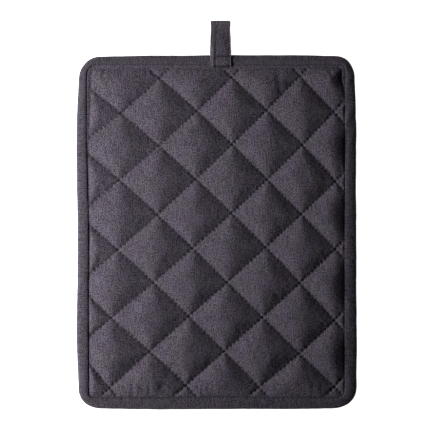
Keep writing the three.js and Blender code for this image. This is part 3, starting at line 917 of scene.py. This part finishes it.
def loop_painted_shade(x_in, y, width, on_front):
    """Painted shade from 0 to 1 on the tape, deepest in its crease, along its rows of stitches and at the
    front leg's end.
    """
    low = 1 - smoothstep(y, 117, 127)
    total = bell(x_in - loop_seam(y), 0.45) * (0.05 + 0.5 * low * on_front)
    for tack in tack_lines(x_in):
        total += on_front * 1.4 * bell(y - tack, 0.75) * smoothstep(x_in, 2.4, 3.6)
    total += on_front * 1.4 * bell(y - LOOP["front_end"], 0.9)
    return total + on_front * 0.45 * bell(width - x_in, 0.7) * (0.4 + 0.6 * low)


def loop_sides(y):
    """The x of the tape's left side, and half its width."""
    rise = np.clip((y - LOOP["edge"]) / (LOOP["top"] - LOOP["edge"]), 0, 1)
    half = (LOOP["base_width"] + rise * (LOOP["fold_width"] - LOOP["base_width"])) / 2
    return LOOP["x"] + LOOP["lean"] * rise - half, half


def loop_grid():
    """The tape's outer and inner side as points, how far along and across it they are, and their painted
    shade.
    """
    path = loop_path()
    out = left_of(unit(np.gradient(path, axis=0)))
    y = path[:, :1]
    short = np.clip(1 - (y - LOOP["front_end"]) / LOOP["rounded"], 0, 1)
    left, half = loop_sides(y)
    rounded = LOOP["rounded"] * (1 - np.sqrt(1 - short**2)) * 0.7
    left, half = left + rounded, half - rounded
    waver = 0.12 * np.sin(y / 3.1) + 0.1 * np.sin(y / 1.7 + 2)
    across = -np.cos(np.linspace(0, math.pi, LOOP_ACROSS))[None, :]
    x_in = half + across * (half + waver)
    inside = np.clip((1 - np.abs(across)) * half / LOOP["sides"], 0, 1)
    thick = LOOP["tape"] / 2 * np.sqrt(1 - (1 - inside) ** 2)
    on_front = (np.arange(len(path)) < LOOP_STEPS + LOOP_FOLD_STEPS / 2)[:, None] * 1.0
    relief = loop_relief(x_in, y, on_front) * inside
    sides = [
        np.concatenate([(left + x_in)[..., None], path[:, None] + offset[..., None] * out[:, None]], axis=-1)
        for offset in (thick + relief, -thick)
    ]
    along = np.concatenate([[0], np.cumsum(np.linalg.norm(np.diff(path, axis=0), axis=1))])
    return *sides, along, x_in, loop_painted_shade(x_in, y, 2 * half, on_front)


def round_about(outside, inside):
    """Values across the tape's outer side, and back across its inner side without its two ends."""
    return np.concatenate([outside, inside[:, ::-1][:, 1:-1]], axis=1)


def hanging_loop():
    outside, inside, along, x_in, painted_shade = loop_grid()
    count = outside.shape[1]
    rings = round_about(outside, inside)
    steps, around = rings.shape[:2]
    points = rings.reshape(-1, 3)
    points[:, 2] = np.maximum(points[:, 2], LEAST_LEVEL)
    faces = ring_faces(steps, around, closed=False)[:, ::-1].tolist()
    for start, way in ((0, -1), ((steps - 1) * around, 1)):  # the tape's two cut ends
        upper = range(start, start + count)
        lower = [start, *(start + around - k for k in range(1, count - 1)), start + count - 1]
        for k in range(count - 1):
            cap = dict.fromkeys([upper[k], upper[k + 1], lower[k + 1], lower[k]])
            faces.append(list(cap)[::way])
    along = np.repeat(along[:, None], around, axis=1)
    place = np.stack([round_about(x_in, x_in), along], axis=-1).reshape(-1, 2)
    uv = place[[index for face in faces for index in face]]
    piece = mesh_object("hanging_loop_tape", points, faces, uv, round_about(painted_shade, 0 * painted_shade))
    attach(piece, "root")
    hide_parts("hanging_loop")
    return piece


# ---- Threads --------------------------------------------------------------------------------------------

THREAD = 0.36  # thickness
THREAD_SIDES = 6
BACK_SEAM = 0.9  # how far out from the binding's inner edge its seam runs on the back
# A stitch's five sections: how far from hole to hole, how thick, and how deep its middle lies in the cloth.
SECTIONS = table(
    "place size sink",
    (0.1, 0.45, 0.42),
    (0.28, 0.95, 0.02),
    (0.5, 1.0, -0.06),
    (0.72, 0.95, 0.02),
    (0.9, 0.45, 0.42),
)
PLACES, SIZES, SINKS = (np.array([row[column] for row in SECTIONS]) for column in ("place", "size", "sink"))
UNDER_STITCH = np.linspace(0, 1, 5)  # from hole to hole, where the height of the cloth is taken


def thread_piece(name, slot, over, under=()):
    """Stitches as one joined mesh: runs of five points from hole to hole, on the face and on the back."""
    runs = np.array([*over, *under])
    ups = np.array([(0, 0, 1)] * len(over) + [(0, 0, -1)] * len(under), float)[:, None]
    ahead = unit(np.gradient(runs, axis=1))
    aside = unit(np.cross(ahead, ups))
    above = np.cross(aside, ahead)
    angle = np.arange(THREAD_SIDES)[:, None] * 2 * math.pi / THREAD_SIDES
    spread = aside[:, :, None] * np.cos(angle) + above[:, :, None] * np.sin(angle)
    points = runs[:, :, None] + (SIZES * THREAD / 2)[:, None, None] * spread
    size = len(SIZES) * THREAD_SIDES
    ends = [list(range(THREAD_SIDES)), list(range(size - 1, size - 1 - THREAD_SIDES, -1))]
    skin = ring_faces(len(SIZES), THREAD_SIDES, closed=False).tolist() + ends
    firsts = range(0, len(runs) * size, size)
    faces = [[corner + first for corner in face] for first in firsts for face in skin]
    piece = mesh_object(name, points.reshape(-1, 3), faces)
    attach(piece, "root")
    return piece


def run_between(holes, up):
    """The points of a stitch over a row of surface points, sunk at the holes."""
    path = read_off(PLACES * (len(holes) - 1), np.arange(len(holes)), holes)
    path[:, 2] -= up * SINKS
    return path


def quilting_runs(lattice, plane, height, outward):
    """The stitches of every quilt line on one side of the panel."""
    surface = np.concatenate([plane, (MID_HEIGHT + outward * height)[..., None]], axis=-1)
    runs = []
    for grid, depth in ((surface, lattice.depth), (surface.transpose(1, 0, 2), lattice.depth.T)):
        for line in range(lattice.steps, len(grid) - lattice.steps, lattice.steps):
            for first in range(0, grid.shape[1] - lattice.stitch, lattice.stitch):
                part = slice(first, first + lattice.stitch + 1)
                if depth[line, part].min() > 0.2:
                    runs.append(run_between(grid[line, part], outward))
    return runs


def edge_runs(depth, level, outward, start=0.0):
    """The stitches of a seam round the panel at a height; with no depth it is the one on the margin."""
    count = round(EDGE.inner_length / STITCH)
    runs = []
    for index in range(count):
        along = (index + start + UNDER_STITCH) * EDGE.inner_length / count
        margin = EDGE.margin(along)
        if depth is not None or margin.min() >= 1.2:
            plane = EDGE.inner_at(along, margin[:, None] if depth is None else depth)
            runs.append(run_between(np.column_stack([plane, np.full(len(plane), level)]), outward))
    return runs


def loop_runs():
    """The stitches of the rows across the front leg and of the tape's own left seam."""
    path = loop_path()[:LOOP_STEPS]

    def stitch(x_in, y):
        level = np.interp(y, path[:, 0], path[:, 1]) + LOOP["tape"] / 2 + loop_relief(x_in, y, 1.0)
        return run_between(np.column_stack([loop_sides(y)[0] + x_in, y, level]), 1)

    length = LOOP_STITCH * UNDER_STITCH
    rows = np.arange(3.8, LOOP["base_width"] - 2.6, LOOP_STITCH)[:, None] + length
    runs = [stitch(x_in, tack_lines(x_in)[row]) for row in (0, 1) for x_in in rows]
    up = np.arange(LOOP_TACKS[1] + 1, LOOP["top"] - 3, LOOP_STITCH)[:, None] + length
    return runs + [stitch(loop_seam(y), y) for y in up]


def threads(surfaces):
    """The stitches of every seam, as three pieces."""
    face_level, back_level = MID_HEIGHT + CHANNEL_HALF, MID_HEIGHT - STRIP["outside"] - STRIP["cloth"] / 2
    over = edge_runs(None, face_level - 0.2, 1) + edge_runs(0.12, face_level - 0.3, 1, 0.5)
    under = edge_runs(-BACK_SEAM, back_level + 0.12, -1, 0.5)
    return [
        thread_piece("quilting_thread", "quilted_linen", *(quilting_runs(*surface) for surface in surfaces)),
        thread_piece("edge_thread", "quilted_linen", over, under),
        thread_piece("loop_thread", "loop_tape", loop_runs()),
    ]


# ---- Materials ------------------------------------------------------------------------------------------

LINEN = {
    "dark": (0.024, 0.019, 0.029, 1),  # the yarn's colours, lit evenly
    "violet": (0.117, 0.096, 0.137, 1),
    "grey": (0.115, 0.1025, 0.119, 1),
    "rose": (0.124, 0.096, 0.128, 1),
    "worn": (0.20, 0.18, 0.21, 1),
    # painted shade: the near-black that creases, stitch holes and the ditch are darkened towards
    "painted_shade": (0.010, 0.008, 0.013, 1),
    "sheen": (0.60, 0.54, 0.70, 1),
}
THREAD_COLOURS = ((0.020, 0.017, 0.024, 1), (0.050, 0.043, 0.058, 1))
PITCH = 0.5  # from one yarn to the next
FIBRES = table("x y share", (0.68, 1.1, 1.1), (0.5, 0.55, 1.4), (0.33, 0.36, 0.5))  # lumps of uneven colour


class Shader:
    """A material with short names for making and joining its nodes."""

    def __init__(self, name):
        self.material = bpy.data.materials.new(name)
        self.material.use_nodes = True
        self.tree = self.material.node_tree
        self.surface = self.tree.nodes["Principled BSDF"]

    def feed(self, socket, value):
        if isinstance(value, bpy.types.NodeSocket):
            self.tree.links.new(value, socket)
        else:
            socket.default_value = value

    def finished(self, inputs):
        """The material, with the surface's inputs fed."""
        for name, value in inputs.items():
            self.feed(self.surface.inputs[name], value)
        return self.material

    def node(self, kind, inputs=(), **settings):
        made = self.tree.nodes.new(kind)
        for key, value in settings.items():
            setattr(made, key, value)
        for key, value in dict(inputs).items():
            self.feed(made.inputs[key], value)
        return made

    def math(self, operation, *values, clamp=False):
        return self.node("ShaderNodeMath", enumerate(values), operation=operation, use_clamp=clamp).outputs[0]

    def line(self, value, factor, plus, clamp=False):
        return self.math("MULTIPLY_ADD", value, factor, plus, clamp=clamp)

    def total(self, *values, clamp=False):
        result = values[0]
        for value in values[1:]:
            result = self.math("ADD", result, value, clamp=clamp)
        return result

    def stretched(self, place, x, y):
        """A place with its x and y each divided by a length in millimetres."""
        inputs = {0: place, 1: (1 / (x * MM), 1 / (y * MM), 0)}
        return self.node("ShaderNodeVectorMath", inputs, operation="MULTIPLY").outputs[0]

    def noise(self, place, x, y, detail=0.0):
        """Noise from 0 to 1 whose lumps are about x by y millimetres."""
        inputs = {"Vector": self.stretched(place, x, y), "Scale": 1.0, "Detail": detail, "Roughness": 0.5}
        return self.node("ShaderNodeTexNoise", inputs, noise_dimensions="2D").outputs["Fac"]

    def uneven(self, place, x, y, amount, detail=0.0):
        """Noise from -amount to amount."""
        return self.line(self.noise(place, x, y, detail), 2 * amount, -amount)

    def mixed(self, share, first, second, kind="RGBA"):
        made = self.node("ShaderNodeMix", data_type=kind)
        index = {"FLOAT": (0, 2, 3), "RGBA": (0, 6, 7)}[kind]
        for socket, value in zip(index, (share, first, second)):
            self.feed(made.inputs[socket], value)
        return made.outputs[2 if kind == "RGBA" else 0]

    def bumped(self, height, strength, distance):
        inputs = {"Height": height, "Strength": strength, "Distance": distance * MM}
        return self.node("ShaderNodeBump", inputs).outputs[0]


def weave(shader, place, warp, weft, speckle, mottle):
    """The tone from 0 to 1 and the height from 0 to 1 of a plain weave with uneven yarns."""
    wander = shader.uneven(place, 7, 7, 0.5)
    parts = shader.node("ShaderNodeSeparateXYZ", {0: shader.stretched(place, PITCH, PITCH)})
    across, along = (
        shader.math("SINE", shader.math("MULTIPLY", shader.total(parts.outputs[axis], wander), math.pi))
        for axis in (0, 1)
    )
    product = shader.math("MULTIPLY", across, along)
    warp_over = shader.line(product, 3.0, 0.5, clamp=True)
    height = shader.math("POWER", shader.math("ABSOLUTE", product), 0.6)
    warp_tone = shader.uneven(place, 1.35 * PITCH, 7, warp)
    broad_warp = shader.uneven(place, 2.6 * PITCH, 12, 0.15 * warp, detail=1.0)
    weft_tone = shader.uneven(place, 4, 1.6 * PITCH, weft)
    yarn = shader.mixed(warp_over, weft_tone, warp_tone, "FLOAT")
    fibres = (shader.uneven(place, row["x"], row["y"], row["share"] * speckle) for row in FIBRES)
    fibre_tone = shader.total(*fibres)
    patches = shader.uneven(place, 11, 15, mottle, detail=2.0)
    # Painted shade: the tone darkens where the weave sinks between its yarns
    shade_between_yarns = shader.line(height, 0.22, -0.13)
    tone = shader.total(yarn, broad_warp, fibre_tone, patches, shade_between_yarns, 0.5)
    return shader.math("MULTIPLY", tone, 1.0, clamp=True), height


def linen(name, place_from, warp=1.8, weft=0.7, speckle=1.6, mottle=0.10, light=1.0, ribs=0.0):
    """Charcoal linen. Its weave lies on the object's own X and Y, or along and across a strip's uv."""
    shader = Shader(name)
    dark, violet, grey, rose, worn_colour = (
        (*(light * part for part in LINEN[key][:3]), 1) for key in ("dark", "violet", "grey", "rose", "worn")
    )
    if place_from == "object":
        place = shader.node("ShaderNodeTexCoord").outputs["Object"]
    else:
        place = shader.node("ShaderNodeUVMap", uv_map="Weave").outputs[0]
    tone, height = weave(shader, place, warp, weft, speckle, mottle)
    if ribs:
        rib = shader.noise(place, 0.62, 9, detail=1.0)
        tone = shader.total(tone, shader.line(rib, 2 * ribs, -ribs), clamp=True)
        height = shader.total(shader.math("MULTIPLY", height, 0.7), rib)
    hue = shader.line(shader.noise(place, 11, 14, detail=1.0), 2.4, -0.7, clamp=True)
    blush = shader.line(shader.noise(place, 16, 13, detail=1.0), 3.2, -1.7, clamp=True)
    tint = shader.mixed(blush, shader.mixed(hue, grey, violet), rose)
    lift = shader.node("ShaderNodeNewGeometry").outputs["Pointiness"]
    worn = shader.line(lift, 9.0, -4.75, clamp=True)
    worn = shader.math("MULTIPLY", worn, shader.noise(place, 1.6, 2.4, detail=2.0))
    colour = shader.mixed(shader.math("MULTIPLY", worn, 0.5), shader.mixed(tone, dark, tint), worn_colour)
    # Painted shade: the colour darkens towards near-black by the mesh's shade attribute, in creases, stitch
    # holes and the ditch
    painted_shade = shader.node("ShaderNodeAttribute", attribute_name="PaintedShade").outputs["Fac"]
    slub = shader.math("MULTIPLY", shader.noise(place, 0.6, 7, detail=1.0), 0.9)
    return shader.finished({
        "Base Color": shader.mixed(shader.math("MULTIPLY", painted_shade, 0.7), colour, LINEN["painted_shade"]),
        "Normal": shader.bumped(shader.total(height, slub), 0.7, 0.14),
        "Roughness": shader.line(tone, -0.08, 0.94),
        "Specular IOR Level": 0.2,
        "Sheen Weight": 0.07,
        "Sheen Roughness": 0.45,
        "Sheen Tint": LINEN["sheen"],
    })


def thread_material():
    shader = Shader("sewing_thread")
    tone = shader.noise(shader.node("ShaderNodeTexCoord").outputs["Object"], 0.3, 0.3, detail=2.0)
    return shader.finished({
        "Base Color": shader.mixed(tone, *THREAD_COLOURS),
        "Normal": shader.bumped(tone, 0.5, 0.08),
        "Roughness": shader.line(tone, -0.15, 0.75),
        "Sheen Weight": 0.1,
    })


# ---- Floor, light and camera ----------------------------------------------------------------------------

FLOOR_SIZE = 9.0  # metres
FLOOR_LEVEL = -0.1  # just clear of the back
FRAME_WIDTH = 309.4  # what the picture takes in, from side to side
FRAME_CENTRE = (-1.35, 0.0)
CAMERA_HEIGHT = 1.6  # metres
SENSOR = 36  # the camera's own millimetres
KEY = {
    "at": (-0.37, -0.02, 0.16),  # metres
    "aim": (0.0, 0.006, 0.0),
    "size": (0.6, 0.1),  # along the panel's left side, and up
    "roll": -21,  # degrees, which lifts its far end
    "power": 2.1,
    "spread": 110,  # degrees
}
FILL = 0.022  # the surroundings' light


def floor():
    half = FLOOR_SIZE / 2 / MM
    corners = [(x * half, y * half, FLOOR_LEVEL) for x, y in ((-1, -1), (1, -1), (1, 1), (-1, 1))]
    piece = mesh_object("studio_floor", corners, [(0, 1, 2, 3)])
    piece.data.materials.append(Shader("white_floor").finished({
        "Base Color": (0.9, 0.9, 0.9, 1),
        "Roughness": 0.9,
        "Emission Color": (1, 1, 1, 1),
        "Emission Strength": 1.1,
    }))


def key_light():
    light = bpy.data.lights.new("window_light", "AREA")
    light.shape = "RECTANGLE"
    light.size, light.size_y = KEY["size"]
    light.energy = KEY["power"]
    light.spread = math.radians(KEY["spread"])
    lamp = bpy.data.objects.new("window_light", light)
    lamp.location = KEY["at"]
    turned = (Vector(KEY["aim"]) - Vector(KEY["at"])).to_track_quat("-Z", "Y")
    lamp.rotation_euler = (turned @ Quaternion((0, 0, 1), math.radians(KEY["roll"]))).to_euler()
    lamp.visible_camera = False
    bpy.context.scene.collection.objects.link(lamp)


def surroundings():
    world = bpy.data.worlds.new("studio")
    world.use_nodes = True
    back = world.node_tree.nodes["Background"]
    back.inputs["Color"].default_value = (1, 1, 1, 1)
    back.inputs["Strength"].default_value = FILL
    bpy.context.scene.world = world


def camera():
    data = bpy.data.cameras.new("camera")
    data.sensor_width = SENSOR
    data.lens = SENSOR * CAMERA_HEIGHT / (FRAME_WIDTH * MM)
    made = bpy.data.objects.new("camera", data)
    made.location = (FRAME_CENTRE[0] * MM, FRAME_CENTRE[1] * MM, CAMERA_HEIGHT)
    bpy.context.scene.collection.objects.link(made)
    bpy.context.scene.camera = made
    bpy.context.scene.view_settings.view_transform = "Standard"


# ---- Putting it together --------------------------------------------------------------------------------


def build():
    surfaces = panel_surfaces()
    quilted_panel(surfaces).data.materials.append(linen("quilted_linen", "object"))
    edge_binding().data.materials.append(linen("binding_linen", "strip", light=0.79, ribs=0.9, speckle=1.9))
    hanging_loop().data.materials.append(linen("loop_tape", "strip", light=1.04, ribs=0.4))
    sewing = thread_material()
    for piece in threads(surfaces):
        piece.data.materials.append(sewing)


build()
floor()
key_light()
surroundings()
camera()
